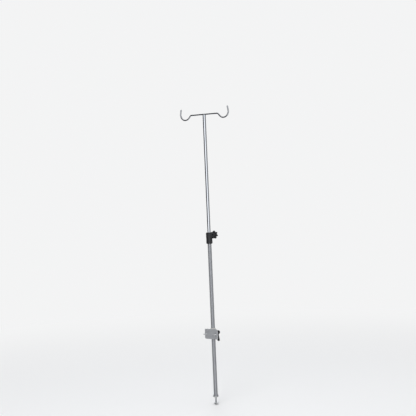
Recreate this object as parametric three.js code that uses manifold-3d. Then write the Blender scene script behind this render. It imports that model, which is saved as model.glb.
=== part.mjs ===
// Chair-mounted telescopic drip stand: a chromed outer tube stands on a spigot that is bolted to a
// base rail, passes through a clamp bracket on the seat frame, and carries a sliding inner tube
// with two hooks. Millimetres, +Z up, +X along the hook bar.
// The origin is on the pole's axis, where the foot spigot's shoulder rests on the rail.
import * as THREE from 'three';
import { mergeVertices } from 'three/addons/utils/BufferGeometryUtils.js';
import Module from 'manifold-3d';

const wasm = await Module();
wasm.setup();

// ---- driving dimensions (mm) ----
const SEG = 40;               // facets round a tube
const GAP = 0.3;              // between pieces that touch

const RAIL_H = 30;            // base rail between the spigot's shoulder and its washer
const OUTER_R = 9.5;          // outer tube, 19 mm x 1.0
const OUTER_WALL = 1.0;
const OUTER_TOP = 790;
const INNER_R = 8.0;          // inner tube, 16 mm x 1.2
const INNER_WALL = 1.2;
const INNER_BOTTOM = 470;
const INNER_TOP = 1399;

const BAR_Z = 1400;           // axis of the hook bar
const ROD_R = 3.5;            // hook rod, 7 mm
const ROD_SIDES = 12;
const BAR_JOIN_X = -6;        // the two rods butt here, over the tube's wall
const HOOK_CX = 115;          // centre of the hook's round, from the pole's axis
const HOOK_CZ = 7;            // and above the bar's axis
const HOOK_R = 29;
const BEND_R = 10;            // bend from the bar into the hook
const BEND_DEG = 45;
const TIP_DEG = 12;           // the tip leans in by this much
const TIP_LEN = 20.4;

const SPIGOT_R = 6;
const SPIGOT_TOP = 60;
const SHOULDER_R = 14;
const SHOULDER_H = 4;
const RING_LEDGE = 6.5;       // the outer tube stands on this ledge of the foot ring
const POLE_BOTTOM = RING_LEDGE + GAP;

const BRACKET_Z = 315;        // centre of the clamp bracket on the seat frame
const SLEEVE_H = 50;
const SLEEVE_R = 14;
const SLEEVE_IN = 11;
const PLATE_W = 76;
const PLATE_H = 50;
const PLATE_T = 4;
const PLATE_FRONT = -(SLEEVE_R + GAP);
const PLATE_BACK = PLATE_FRONT - PLATE_T;
const PLATE_HOLE_X = 28;
const LEVER_LEAN = 9;          // degrees that the clamping lever's arm leans out
const M8_R = 4.0;
const M6_R = 3.0;
const M5_R = 2.5;

const COLLAR_BOTTOM = 762;
const COLLAR_TOP = 818;
const COLLAR_R = 15.5;
const LOCK_Z = 803;           // axis of the height lock screw

// ---- helpers ----
function toManifold(geo) {
  const g = geo.index ? geo.toNonIndexed() : geo.clone();
  for (const k of Object.keys(g.attributes)) if (k !== 'position') g.deleteAttribute(k);
  const m = mergeVertices(g, 1e-4);
  const p = m.attributes.position.array;
  const src = m.index.array;
  const tri = [];
  let vol = 0;
  for (let i = 0; i < src.length; i += 3) {
    const a = src[i], b = src[i + 1], c = src[i + 2];
    if (a === b || b === c || a === c) continue;
    tri.push(a, b, c);
    const [ax, ay, az] = [p[3 * a], p[3 * a + 1], p[3 * a + 2]];
    const [bx, by, bz] = [p[3 * b], p[3 * b + 1], p[3 * b + 2]];
    const [cx, cy, cz] = [p[3 * c], p[3 * c + 1], p[3 * c + 2]];
    vol += ax * (by * cz - bz * cy) + ay * (bz * cx - bx * cz) + az * (bx * cy - by * cx);
  }
  if (vol < 0) for (let i = 0; i < tri.length; i += 3) [tri[i + 1], tri[i + 2]] = [tri[i + 2], tri[i + 1]];
  return new wasm.Manifold(new wasm.Mesh({
    numProp: 3, vertProperties: new Float32Array(p), triVerts: new Uint32Array(tri),
  }));
}

function toGeometry(man) {
  const mesh = man.getMesh();
  const np = mesh.numProp;
  const n = mesh.vertProperties.length / np;
  const pos = new Float32Array(n * 3);
  for (let i = 0; i < n; i++) for (let k = 0; k < 3; k++) pos[3 * i + k] = mesh.vertProperties[np * i + k];
  const g = new THREE.BufferGeometry();
  g.setAttribute('position', new THREE.BufferAttribute(pos, 3));
  g.setIndex(new THREE.BufferAttribute(new Uint32Array(mesh.triVerts), 1));
  g.computeVertexNormals();
  return g;
}

// A solid of revolution about Z from [r, z] points. Solids start and end on the axis, rings close.
function turned(points, seg = SEG) {
  const pts = points.map(([r, z]) => new THREE.Vector2(r, z));
  const onAxis = points[0][0] === 0 && points[points.length - 1][0] === 0;
  if (!onAxis) pts.push(pts[0].clone());
  const g = new THREE.LatheGeometry(pts, seg);
  g.rotateX(Math.PI / 2);
  return toManifold(g);
}

// The same about +Y, with [r, y] points.
function turnedY(points, seg, x = 0, z = 0) {
  const pts = points.map(([r, y]) => new THREE.Vector2(r, y));
  const onAxis = points[0][0] === 0 && points[points.length - 1][0] === 0;
  if (!onAxis) pts.push(pts[0].clone());
  const g = new THREE.LatheGeometry(pts, seg);
  g.translate(x, 0, z);
  return toManifold(g);
}

// The same about +X, with [r, x] points.
function turnedX(points, seg, y = 0, z = 0) {
  const pts = points.map(([r, x]) => new THREE.Vector2(r, x));
  const onAxis = points[0][0] === 0 && points[points.length - 1][0] === 0;
  if (!onAxis) pts.push(pts[0].clone());
  const g = new THREE.LatheGeometry(pts, seg);
  g.rotateZ(-Math.PI / 2);
  g.translate(0, y, z);
  return toManifold(g);
}

// A flat outline in (x, z), extruded from y0 to y1, with a bevel on both faces.
function slab(shape, y0, y1, bevel = 0) {
  const g = new THREE.ExtrudeGeometry(shape, {
    depth: y1 - y0 - 2 * bevel, steps: 1, curveSegments: 5,
    bevelEnabled: bevel > 0, bevelThickness: bevel, bevelSize: bevel, bevelOffset: -bevel, bevelSegments: 1,
  });
  g.translate(0, 0, bevel);
  g.rotateX(Math.PI / 2);       // depth now runs along -Y
  g.translate(0, y1, 0);
  return toManifold(g);
}

function roundedRect(w, h, r, cx = 0, cy = 0) {
  const s = new THREE.Shape();
  const x = cx - w / 2, y = cy - h / 2;
  s.moveTo(x + r, y);
  s.lineTo(x + w - r, y); s.absarc(x + w - r, y + r, r, -Math.PI / 2, 0, false);
  s.lineTo(x + w, y + h - r); s.absarc(x + w - r, y + h - r, r, 0, Math.PI / 2, false);
  s.lineTo(x + r, y + h); s.absarc(x + r, y + h - r, r, Math.PI / 2, Math.PI, false);
  s.lineTo(x, y + r); s.absarc(x + r, y + r, r, Math.PI, 1.5 * Math.PI, false);
  return s;
}

// ---- hook rods ----
// The centreline lies in the XZ plane, from the butt joint along the bar, down into the hook, round
// and up to the tip. side is +1 or -1, and start is the distance from the pole's axis (signed).
function hookPath(side, start) {
  const th = THREE.MathUtils.degToRad(BEND_DEG);
  const tip = THREE.MathUtils.degToRad(TIP_DEG);
  const dz = HOOK_CZ - HOOK_R * Math.cos(th) + BEND_R - BEND_R * Math.cos(th);
  const dx = -dz / Math.tan(th);
  const x0 = HOOK_CX - (HOOK_R + BEND_R) * Math.sin(th) - dx;   // the bar's straight ends here
  const pts = [];
  pts.push([start, 0]);
  for (const t of [0.35, 0.7]) pts.push([start + (x0 - start) * t, 0]);
  for (let i = 0; i <= 4; i++) {
    const a = (th * i) / 4;
    pts.push([x0 + BEND_R * Math.sin(a), -BEND_R + BEND_R * Math.cos(a)]);
  }
  const a0 = -Math.PI / 2 - th, a1 = tip;
  const n = 17;
  for (let i = 0; i <= n; i++) {
    const a = a0 + ((a1 - a0) * i) / n;
    pts.push([HOOK_CX + HOOK_R * Math.cos(a), HOOK_CZ + HOOK_R * Math.sin(a)]);
  }
  const last = pts[pts.length - 1];
  pts.push([last[0] - TIP_LEN * Math.sin(tip), last[1] + TIP_LEN * Math.cos(tip)]);
  return pts.map(([x, z]) => new THREE.Vector3(side * x, 0, BAR_Z + z));
}

// A round rod swept along points that all lie in the XZ plane, closed by flat ends with a small
// chamfer. The rings are mitred, so the rod keeps its diameter at every bend.
function sweptRod(points, r, sides, chamfer) {
  const n = points.length;
  const tang = points.map((p, i) => {
    const a = points[Math.max(0, i - 1)], b = points[Math.min(n - 1, i + 1)];
    const t0 = new THREE.Vector3().subVectors(p, a).normalize();
    const t1 = new THREE.Vector3().subVectors(b, p).normalize();
    if (i === 0) return t1;
    if (i === n - 1) return t0;
    return t0.add(t1).normalize();
  });
  const side = new THREE.Vector3(0, 1, 0);
  const pos = [];
  const ring = (c, t, rad) => {
    const up = new THREE.Vector3().crossVectors(t, side).normalize();
    for (let k = 0; k < sides; k++) {
      const a = (2 * Math.PI * k) / sides;
      const p = c.clone().addScaledVector(side, rad * Math.cos(a)).addScaledVector(up, rad * Math.sin(a));
      pos.push(p.x, p.y, p.z);
    }
  };
  ring(points[0], tang[0], r - chamfer);
  ring(points[0].clone().addScaledVector(tang[0], chamfer), tang[0], r);
  for (let i = 1; i < n - 1; i++) ring(points[i], tang[i], r);
  ring(points[n - 1].clone().addScaledVector(tang[n - 1], -chamfer), tang[n - 1], r);
  ring(points[n - 1], tang[n - 1], r - chamfer);
  const nr = pos.length / 3 / sides;
  const idx = [];
  for (let j = 0; j < nr - 1; j++) for (let k = 0; k < sides; k++) {
    const a = j * sides + k, b = j * sides + ((k + 1) % sides), c = a + sides, d = b + sides;
    idx.push(a, b, d, a, d, c);
  }
  const capA = pos.length / 3;
  pos.push(points[0].x, points[0].y, points[0].z);
  const capB = capA + 1;
  pos.push(points[n - 1].x, points[n - 1].y, points[n - 1].z);
  for (let k = 0; k < sides; k++) {
    idx.push(capA, (k + 1) % sides, k);
    idx.push(capB, (nr - 1) * sides + k, (nr - 1) * sides + ((k + 1) % sides));
  }
  const g = new THREE.BufferGeometry();
  g.setAttribute('position', new THREE.BufferAttribute(new Float32Array(pos), 3));
  g.setIndex(idx);
  return toManifold(g);
}

// ---- materials ----
const mat = (color, roughness, metalness) => new THREE.MeshStandardMaterial({ color, roughness, metalness });
const CHROME = mat(0xd9dce0, 0.08, 1.0);
const POLISHED = mat(0xb4b6b8, 0.18, 1.0);
const ZINC = mat(0xb9bcbd, 0.35, 1.0);
const PAINT = mat(0x9a9ca0, 0.45, 0.3);
const BLACK = mat(0x1b1b1d, 0.5, 0.0);
const NYLON = mat(0xe4e2dc, 0.5, 0.0);
const GREYCAP = mat(0x7d8085, 0.35, 0.0);
const BRASS = mat(0xb08d45, 0.3, 1.0);

const root = new THREE.Group();
function add(name, man, material) {
  const mesh = new THREE.Mesh(toGeometry(man), material);
  mesh.name = name;
  root.add(mesh);
}

// ================= foot: held on the base rail =================
const BORE = M8_R + GAP;
add('foot_spigot', turned([
  [0, 34], [BORE, 30], [BORE, 0], [SHOULDER_R, 0], [SHOULDER_R, SHOULDER_H - 1], [SHOULDER_R - 1, SHOULDER_H],
  [SPIGOT_R, SHOULDER_H], [SPIGOT_R, SPIGOT_TOP - 2], [SPIGOT_R - 1.5, SPIGOT_TOP], [0, SPIGOT_TOP],
]), ZINC);

add('foot_washer', turned([[BORE, -RAIL_H - 2.5], [12, -RAIL_H - 2.5], [12, -RAIL_H], [BORE, -RAIL_H]], 36), ZINC);

{
  const top = -RAIL_H - 2.5 - GAP;
  const head = turned([[0, top - 5.3], [6.6, top - 5.3], [7.5, top - 4.8], [7.5, top], [0, top]], 6);
  const shank = turned([[0, top - 2], [M8_R, top - 2], [M8_R, 25.2], [M8_R - 0.8, 26], [0, 26]], 32);
  add('foot_bolt', head.add(shank), ZINC);
}

// flared ring that turns on the spigot's shoulder; the tube stands on its ledge
add('foot_ring', turned([
  [SPIGOT_R + GAP, SHOULDER_H + GAP], [13.0, SHOULDER_H + GAP], [12.6, 6.0], [11.0, 8.6], [10.5, 11.0],
  [OUTER_R + GAP, 11.0], [OUTER_R + GAP, RING_LEDGE], [SPIGOT_R + GAP, RING_LEDGE],
]), PAINT);

// ================= clamp bracket on the seat frame =================
const zb0 = BRACKET_Z - SLEEVE_H / 2, zb1 = BRACKET_Z + SLEEVE_H / 2;
{
  let plate = slab(roundedRect(PLATE_W, PLATE_H, 7, 0, BRACKET_Z), PLATE_BACK, PLATE_FRONT, 0.6);
  for (const x of [-PLATE_HOLE_X, PLATE_HOLE_X]) {
    plate = plate.subtract(turnedY([[0, PLATE_BACK - 2], [M6_R + GAP, PLATE_BACK - 2], [M6_R + GAP, PLATE_FRONT + 2], [0, PLATE_FRONT + 2]], 24, x, BRACKET_Z));
  }
  add('bracket_plate', plate, PAINT);
}
{
  const sleeve = turned([[SLEEVE_IN, zb0], [SLEEVE_R - 0.6, zb0], [SLEEVE_R, zb0 + 0.6], [SLEEVE_R, zb1 - 0.6], [SLEEVE_R - 0.6, zb1], [SLEEVE_IN, zb1]])
    .subtract(turnedY([[0, 5], [BORE, 5], [BORE, 20], [0, 20]], 24, 0, BRACKET_Z));
  add('bracket_sleeve', sleeve, PAINT);
}
{
  const boss = turnedY([[BORE, 8], [8, 8], [8, 23.2], [7.2, 24], [BORE, 24]], 28, 0, BRACKET_Z)
    .subtract(turned([[0, zb0], [SLEEVE_R + GAP, zb0], [SLEEVE_R + GAP, zb1], [0, zb1]]));
  add('bracket_boss', boss, PAINT);
}
const RUN_OUT = OUTER_R + 0.12;
const BUSH_R = SLEEVE_IN - GAP;
add('bracket_bush_lower', turned([
  [RUN_OUT, zb0 - GAP - 1.5], [13.2, zb0 - GAP - 1.5], [13.2, zb0 - GAP], [BUSH_R, zb0 - GAP], [BUSH_R, zb0 + 13], [RUN_OUT, zb0 + 13],
]), NYLON);
add('bracket_bush_upper', turned([
  [RUN_OUT, zb1 - 13], [BUSH_R, zb1 - 13], [BUSH_R, zb1 + GAP], [13.2, zb1 + GAP], [13.2, zb1 + GAP + 1.5], [RUN_OUT, zb1 + GAP + 1.5],
]), NYLON);
for (const [tag, x] of [['rear', -PLATE_HOLE_X], ['front', PLATE_HOLE_X]]) {
  const y0 = PLATE_FRONT + GAP;
  add(`bracket_washer_${tag}`, turnedY([[M6_R + GAP, y0], [6.2, y0], [6.2, y0 + 1.4], [M6_R + GAP, y0 + 1.4]], 32, x, BRACKET_Z), ZINC);
  const y1 = y0 + 1.4 + GAP;
  const screw = turnedY([
    [0, PLATE_BACK - 22], [M6_R - 0.6, PLATE_BACK - 22], [M6_R, PLATE_BACK - 21.4], [M6_R, y1], [5.3, y1],
    [5.3, y1 + 0.9], [4.7, y1 + 2.2], [3.4, y1 + 3.1], [0, y1 + 3.1],
  ], 32, x, BRACKET_Z);
  const socket = turnedY([[0, y1 + 1.0], [2.2, y1 + 1.0], [2.2, y1 + 6], [0, y1 + 6]], 6, x, BRACKET_Z);
  add(`bracket_screw_${tag}`, screw.subtract(socket), ZINC);
}

// clamp screw: a pad that slides in the boss, and the stud and knob that turn on it
add('bracket_pad', turnedY([[0, OUTER_R + GAP], [3.2, OUTER_R + GAP], [3.8, OUTER_R + GAP + 0.6], [3.8, 12.8], [0, 12.8]], 28, 0, BRACKET_Z), BRASS);
add('bracket_stud', turnedY([[0, 13.1], [3.4, 13.1], [M8_R, 13.7], [M8_R, 40], [0, 40]], 32, 0, BRACKET_Z), ZINC);
{
  // a clamping lever: a round hub, and one arm that hangs down and leans out, thicker at its end
  const hub = turnedY([[0, 28], [8.3, 28], [9.5, 29.2], [9.5, 44.8], [8.2, 46.4], [0, 46.4]], 32, 0, BRACKET_Z);
  const profile = [[0, 0], [4.6, 0], [4.3, 14], [4.9, 26], [5.8, 36]];
  const cz = 39.6, r = 6.2;
  for (const deg of [-30, 0, 30, 60, 80]) {
    const a = THREE.MathUtils.degToRad(deg);
    profile.push([r * Math.cos(a), cz + r * Math.sin(a)]);
  }
  profile.push([0, cz + r]);
  const arm = new THREE.LatheGeometry(profile.map(([x, y]) => new THREE.Vector2(x, y)), 20);
  arm.rotateX(-Math.PI / 2 + THREE.MathUtils.degToRad(LEVER_LEAN));   // now along -Z, leaning to +Y
  arm.translate(0, 37.5, BRACKET_Z);
  const bore = turnedY([[0, 20], [M8_R + GAP, 20], [M8_R + GAP, 40.3], [0, 40.3]], 32, 0, BRACKET_Z);
  const recess = turnedY([[0, 43], [4.9, 43], [4.9, 60], [0, 60]], 24, 0, BRACKET_Z);
  add('bracket_lever', hub.add(toManifold(arm)).subtract(bore).subtract(recess), BLACK);
}
add('bracket_lever_cap', turnedY([[0, 43.3], [4.6, 43.3], [4.6, 47.0], [3.9, 47.6], [0, 47.9]], 24, 0, BRACKET_Z), GREYCAP);

// ================= pole: outer tube and height collar =================
add('outer_tube', turned([
  [OUTER_R - OUTER_WALL, POLE_BOTTOM], [OUTER_R, POLE_BOTTOM], [OUTER_R, OUTER_TOP], [OUTER_R - OUTER_WALL, OUTER_TOP],
]), PAINT);
add('foot_insert', turned([
  [SPIGOT_R + GAP + 0.5, POLE_BOTTOM], [SPIGOT_R + GAP, POLE_BOTTOM + 1], [SPIGOT_R + GAP, POLE_BOTTOM + 44],
  [OUTER_R - OUTER_WALL - GAP, POLE_BOTTOM + 44], [OUTER_R - OUTER_WALL - GAP, POLE_BOTTOM],
].reverse()), NYLON);

const LOCK_BORE = M6_R + GAP;
{
  let collar = turned([
    [OUTER_R + GAP, COLLAR_BOTTOM], [13.8, COLLAR_BOTTOM], [COLLAR_R, COLLAR_BOTTOM + 5], [COLLAR_R, COLLAR_TOP - 4],
    [14.2, COLLAR_TOP - 1.2], [12.2, COLLAR_TOP], [8.6, COLLAR_TOP], [8.6, COLLAR_TOP - 2.7], [OUTER_R + GAP, COLLAR_TOP - 2.7],
  ]);
  const boss = turnedY([[0, 11.5], [8.5, 11.5], [8.5, 25.8], [7.3, 27], [0, 27]], 28, 0, LOCK_Z);
  const core = turned([[0, COLLAR_BOTTOM - 1], [OUTER_R + GAP, COLLAR_BOTTOM - 1], [OUTER_R + GAP, COLLAR_TOP - 2.7], [0, COLLAR_TOP - 2.7]]);
  const hole = turnedY([[0, 2], [LOCK_BORE, 2], [LOCK_BORE, 16.7], [5.3, 16.7], [5.3, 30], [0, 30]], 32, 0, LOCK_Z);
  const grub = turnedX([[0, -20], [2.3 + GAP, -20], [2.3 + GAP, -5], [0, -5]], 20, 0, 774);
  add('collar_body', collar.add(boss.subtract(core)).subtract(hole).subtract(grub), BLACK);
}
add('collar_insert', turnedY([[LOCK_BORE, 17], [5.0, 17], [5.0, 26.6], [LOCK_BORE, 26.6]], 32, 0, LOCK_Z), BRASS);
add('collar_grub_screw', turnedX([[0, -14.9], [1.2, -14.9], [2.3, -14.9], [2.3, -10.4], [1.7, -9.8], [0, -9.8]], 20, 0, 774)
  .subtract(turnedX([[0, -20], [1.3, -20], [1.3, -12.6], [0, -12.6]], 6, 0, 774)), ZINC);
{
  const bush = turned([[INNER_R + 0.12, OUTER_TOP + GAP], [OUTER_R, OUTER_TOP + GAP], [OUTER_R, COLLAR_TOP - 3], [INNER_R + 0.12, COLLAR_TOP - 3]])
    .subtract(turnedY([[0, 2], [LOCK_BORE, 2], [LOCK_BORE, 14], [0, 14]], 28, 0, LOCK_Z));
  add('collar_bush', bush, NYLON);
}

// height lock: pad, stud, star knob and its cap
add('lock_pad', turnedY([[0, INNER_R + GAP], [2.4, INNER_R + GAP], [2.9, INNER_R + GAP + 0.5], [2.9, 11.3], [0, 11.3]], 24, 0, LOCK_Z), BRASS);
add('lock_stud', turnedY([[0, 11.6], [2.5, 11.6], [M6_R, 12.1], [M6_R, 42], [0, 42]], 28, 0, LOCK_Z), ZINC);
{
  const lobes = 7, s = new THREE.Shape();
  const N = 84;
  for (let i = 0; i < N; i++) {
    const a = (2 * Math.PI * i) / N;
    const c = Math.cos(lobes * a);
    const r = 17.6 + 2.9 * Math.sign(c) * Math.pow(Math.abs(c), 0.8);
    if (i === 0) s.moveTo(r * Math.cos(a), r * Math.sin(a)); else s.lineTo(r * Math.cos(a), r * Math.sin(a));
  }
  s.closePath();
  const g = new THREE.ExtrudeGeometry(s, {
    depth: 9, steps: 1, curveSegments: 4, bevelEnabled: true, bevelThickness: 2, bevelSize: 2, bevelOffset: -2, bevelSegments: 1,
  });
  g.rotateX(Math.PI / 2);
  g.translate(0, 47, LOCK_Z);
  const star = toManifold(g);
  const hub = turnedY([[0, 30], [7.8, 30], [9.4, 31.2], [11.5, 37], [0, 37]], 28, 0, LOCK_Z);
  const bore = turnedY([[0, 20], [LOCK_BORE, 20], [LOCK_BORE, 42.3], [0, 42.3]], 28, 0, LOCK_Z);
  const recess = turnedY([[0, 47.2], [10.3, 47.2], [10.3, 55], [0, 55]], 28, 0, LOCK_Z);
  add('lock_knob', star.add(hub).subtract(bore).subtract(recess), BLACK);
}
add('lock_knob_cap', turnedY([[0, 47.5], [10.0, 47.5], [10.0, 48.7], [9.2, 49.5], [5, 50.0], [0, 50.2]], 28, 0, LOCK_Z), GREYCAP);

// ================= mast: glide, inner tube, hooks =================
const GLIDE_TOP = INNER_BOTTOM - GAP;
const GLIDE_R = OUTER_R - OUTER_WALL - 0.12;
add('glide_plug', turned([
  [M5_R + GAP, GLIDE_TOP - 12], [5.2, GLIDE_TOP - 12], [5.2, GLIDE_TOP - 18], [GLIDE_R - 1.2, GLIDE_TOP - 18],
  [GLIDE_R, GLIDE_TOP - 16.8], [GLIDE_R, GLIDE_TOP], [M5_R + GAP, GLIDE_TOP],
]), NYLON);
{
  const z = GLIDE_TOP - 12 - GAP;
  const screw = turned([
    [0, z - 3.4], [3.8, z - 3.4], [4.7, z - 2.4], [4.7, z], [M5_R, z], [M5_R, INNER_BOTTOM + 18], [0, INNER_BOTTOM + 18],
  ], 32);
  const socket = turned([[0, z - 6], [1.9, z - 6], [1.9, z - 1.4], [0, z - 1.4]], 6);
  add('glide_screw', screw.subtract(socket), ZINC);
}
const INNER_IN = INNER_R - INNER_WALL;
add('mast_end_plug', turned([
  [0, INNER_BOTTOM + 20.5], [M5_R + GAP, INNER_BOTTOM + 18.5], [M5_R + GAP, INNER_BOTTOM], [INNER_IN - GAP, INNER_BOTTOM],
  [INNER_IN - GAP, INNER_BOTTOM + 25], [0, INNER_BOTTOM + 25],
]), ZINC);
const saddle = turnedX([[0, -30], [ROD_R + GAP, -30], [ROD_R + GAP, 30], [0, 30]], 32, 0, BAR_Z);
add('inner_tube', turned([
  [INNER_IN, INNER_BOTTOM], [INNER_R, INNER_BOTTOM], [INNER_R, INNER_TOP], [INNER_IN, INNER_TOP],
]).subtract(saddle), CHROME);
add('top_plug', turned([
  [0, INNER_TOP - 16], [INNER_IN - GAP, INNER_TOP - 16], [INNER_IN - GAP, INNER_TOP - 0.4], [0, INNER_TOP - 0.4],
]).subtract(saddle), POLISHED);
add('hook_front', sweptRod(hookPath(1, BAR_JOIN_X), ROD_R, ROD_SIDES, 0.6), POLISHED);
add('hook_rear', sweptRod(hookPath(-1, -(BAR_JOIN_X - GAP)), ROD_R, ROD_SIDES, 0.6), POLISHED);

export default root;
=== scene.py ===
import math

import bmesh
import bpy
import numpy as np
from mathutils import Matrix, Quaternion, Vector


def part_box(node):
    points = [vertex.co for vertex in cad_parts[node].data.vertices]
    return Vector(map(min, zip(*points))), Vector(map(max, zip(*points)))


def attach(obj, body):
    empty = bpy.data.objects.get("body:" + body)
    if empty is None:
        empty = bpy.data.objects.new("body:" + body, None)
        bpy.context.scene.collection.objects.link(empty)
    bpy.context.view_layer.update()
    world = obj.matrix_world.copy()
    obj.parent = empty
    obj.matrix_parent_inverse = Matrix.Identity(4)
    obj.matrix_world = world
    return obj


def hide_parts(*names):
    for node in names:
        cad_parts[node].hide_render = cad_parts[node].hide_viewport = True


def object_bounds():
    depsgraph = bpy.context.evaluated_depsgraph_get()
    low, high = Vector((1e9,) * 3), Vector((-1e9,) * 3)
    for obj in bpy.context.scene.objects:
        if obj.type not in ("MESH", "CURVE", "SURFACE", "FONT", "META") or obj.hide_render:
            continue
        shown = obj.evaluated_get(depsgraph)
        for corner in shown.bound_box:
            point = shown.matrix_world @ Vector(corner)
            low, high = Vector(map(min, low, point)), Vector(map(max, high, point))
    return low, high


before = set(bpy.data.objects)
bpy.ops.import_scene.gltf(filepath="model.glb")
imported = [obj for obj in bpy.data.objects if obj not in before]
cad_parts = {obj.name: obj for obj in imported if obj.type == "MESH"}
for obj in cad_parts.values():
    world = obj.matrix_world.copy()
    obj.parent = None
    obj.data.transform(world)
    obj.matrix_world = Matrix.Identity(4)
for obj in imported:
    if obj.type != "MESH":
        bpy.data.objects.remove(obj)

cad_lo, cad_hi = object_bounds()
MM = 0.001
TAU = 2 * math.pi

# ---- sizes, in millimetres, as the frame has them ----
GAP = 0.3
OUTER_R, OUTER_TOP = 9.5, 790.0
INNER_R, INNER_IN, INNER_BOTTOM, INNER_TOP = 8.0, 6.8, 470.0, 1399.0
BAR_Z, ROD_R, JOIN_X = 1400.0, 3.5, -6.0
HOOK_CX, HOOK_CZ, HOOK_R = 115.0, 7.0, 29.0
BEND_R, BEND, TIP, TIP_LEN = 10.0, math.radians(45), math.radians(12), 20.4
BRACKET_Z = 315.0
COLLAR_BOTTOM, COLLAR_TOP, LOCK_Z = 762.0, 818.0, 803.0


# =====================================================================================
# mesh making
# =====================================================================================
def make(name, verts, faces, body, nodes=(), mats=(), sharp=32):
    """A mesh from millimetre points, with outward faces, smooth apart from edges over the sharp angle."""
    me = bpy.data.meshes.new(name)
    me.from_pydata([tuple(float(c) * MM for c in v) for v in verts], [], [tuple(int(i) for i in f) for f in faces])
    bm = bmesh.new()
    bm.from_mesh(me)
    bmesh.ops.remove_doubles(bm, verts=bm.verts, dist=2e-7)
    bmesh.ops.recalc_face_normals(bm, faces=bm.faces)
    bm.to_mesh(me)
    bm.free()
    me.update()
    me.shade_smooth()
    me.set_sharp_from_angle(angle=math.radians(sharp))
    ob = bpy.data.objects.new(name, me)
    bpy.context.scene.collection.objects.link(ob)
    for m in mats:
        me.materials.append(m)
    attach(ob, body)
    if nodes:
        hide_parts(*nodes)
    return ob


def fil(points, closed=False, n=4):
    """Rounds the corners of a profile of (r, t) or (r, t, fillet) points."""
    pts = [(p[0], p[1], p[2] if len(p) > 2 else 0.0) for p in points]
    out, m = [], len(pts)
    for i, (r, t, f) in enumerate(pts):
        if f <= 0 or (not closed and i in (0, m - 1)):
            out.append((r, t))
            continue
        a, b = pts[(i - 1) % m], pts[(i + 1) % m]
        p = np.array([r, t])
        u = np.array([a[0] - r, a[1] - t])
        v = np.array([b[0] - r, b[1] - t])
        lu, lv = np.linalg.norm(u), np.linalg.norm(v)
        u, v = u / lu, v / lv
        ang = math.acos(max(-1, min(1, float(u @ v))))
        if ang > math.pi - 1e-3:
            out.append((r, t))
            continue
        d = min(f / math.tan(ang / 2), lu * 0.49, lv * 0.49)
        f = d * math.tan(ang / 2)
        bis = (u + v) / np.linalg.norm(u + v)
        c = p + bis * (f / math.sin(ang / 2))
        s, e = p + u * d - c, p + v * d - c
        a0 = math.atan2(s[1], s[0])
        da = math.atan2(e[1], e[0]) - a0
        da = (da + math.pi) % TAU - math.pi
        for k in range(n + 1):
            q = c + f * np.array([math.cos(a0 + da * k / n), math.sin(a0 + da * k / n)])
            out.append((float(q[0]), float(q[1])))
    return out


def place(axis, origin, r, th, t):
    """Points at radius r, angle th and distance t along an axis through origin."""
    c, s = np.cos(th), np.sin(th)
    o = origin
    if axis == "Z":
        return np.stack([o[0] + r * c, o[1] + r * s, o[2] + t + 0 * c], 1)
    if axis == "Y":
        return np.stack([o[0] + r * s, o[1] + t + 0 * c, o[2] + r * c], 1)
    return np.stack([o[0] + t + 0 * c, o[1] + r * c, o[2] + r * s], 1)


def stack(rings, axis="Z", origin=(0, 0, 0), seg=96, closed=False):
    """Rings of (r, t), each a number or an array over the angle, joined in order. A ring with r = 0 is a point."""
    th = np.arange(seg) * TAU / seg
    verts, index = [], []
    for r, t in rings:
        if np.isscalar(r) and abs(r) < 1e-9:
            index.append([len(verts)] * seg)
            p = place(axis, origin, np.zeros(1), np.zeros(1), np.full(1, float(t)))
            verts.append(p[0])
        else:
            p = place(axis, origin, np.broadcast_to(r, (seg,)).astype(float), th, np.broadcast_to(t, (seg,)).astype(float))
            index.append(list(range(len(verts), len(verts) + seg)))
            verts.extend(p)
    faces = []
    pairs = list(zip(index[:-1], index[1:]))
    if closed:
        pairs.append((index[-1], index[0]))
    for a, b in pairs:
        for k in range(seg):
            q = (a[k], a[(k + 1) % seg], b[(k + 1) % seg], b[k])
            u = []
            for i in q:
                if i not in u:
                    u.append(i)
            if len(u) > 2:
                faces.append(tuple(u))
    return verts, faces


def turned(name, profile, body, nodes=(), mats=(), axis="Z", origin=(0, 0, 0), seg=96, closed=False, n=4, sharp=32):
    v, f = stack(fil(profile, closed, n), axis, origin, seg, closed)
    return make(name, v, f, body, nodes, mats, sharp)


def hexagon(flats, seg, turn=0.0):
    """Radius of a hexagon with that distance across flats, over the angle."""
    th = np.arange(seg) * TAU / seg + turn
    a = (th % (TAU / 6)) - TAU / 12
    return flats / 2 / np.cos(a)


def thread(r, pitch, t0, t1, seg, taper0=0.0, taper1=0.0, per=8):
    """Rings of a screw thread of major radius r from t0 to t1."""
    n = max(2, int(round(abs(t1 - t0) / pitch * per)))
    th = np.arange(seg) / seg
    rings = []
    for i in range(n + 1):
        t = t0 + (t1 - t0) * i / n
        w = np.abs(2 * ((t / pitch - th) % 1.0) - 1)
        depth = 0.58 * pitch * np.clip((w - 0.12) / 0.7, 0, 1)
        cut = 0.0
        if taper0 and abs(t - t0) < taper0:
            cut = (taper0 - abs(t - t0)) * 0.9
        if taper1 and abs(t - t1) < taper1:
            cut = (taper1 - abs(t - t1)) * 0.9
        rings.append((np.minimum(r - depth, r - cut), t))
    return rings


# signed distances, for moulded and welded shapes with rounded joins
def d_round(r, t, radius, t0, t1, edge):
    """A round bar of that radius from t0 to t1, with rounded edges, from the distance r off its axis and t along it."""
    dx = r - (radius - edge)
    dt = np.abs(t - (t0 + t1) / 2) - ((t1 - t0) / 2 - edge)
    return np.minimum(np.maximum(dx, dt), 0) + np.hypot(np.maximum(dx, 0), np.maximum(dt, 0)) - edge


def smin(a, b, k):
    h = np.clip(0.5 + 0.5 * (b - a) / k, 0, 1)
    return b + (a - b) * h - k * h * (1 - h)


def smax(a, b, k):
    return -smin(-a, -b, k)


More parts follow.
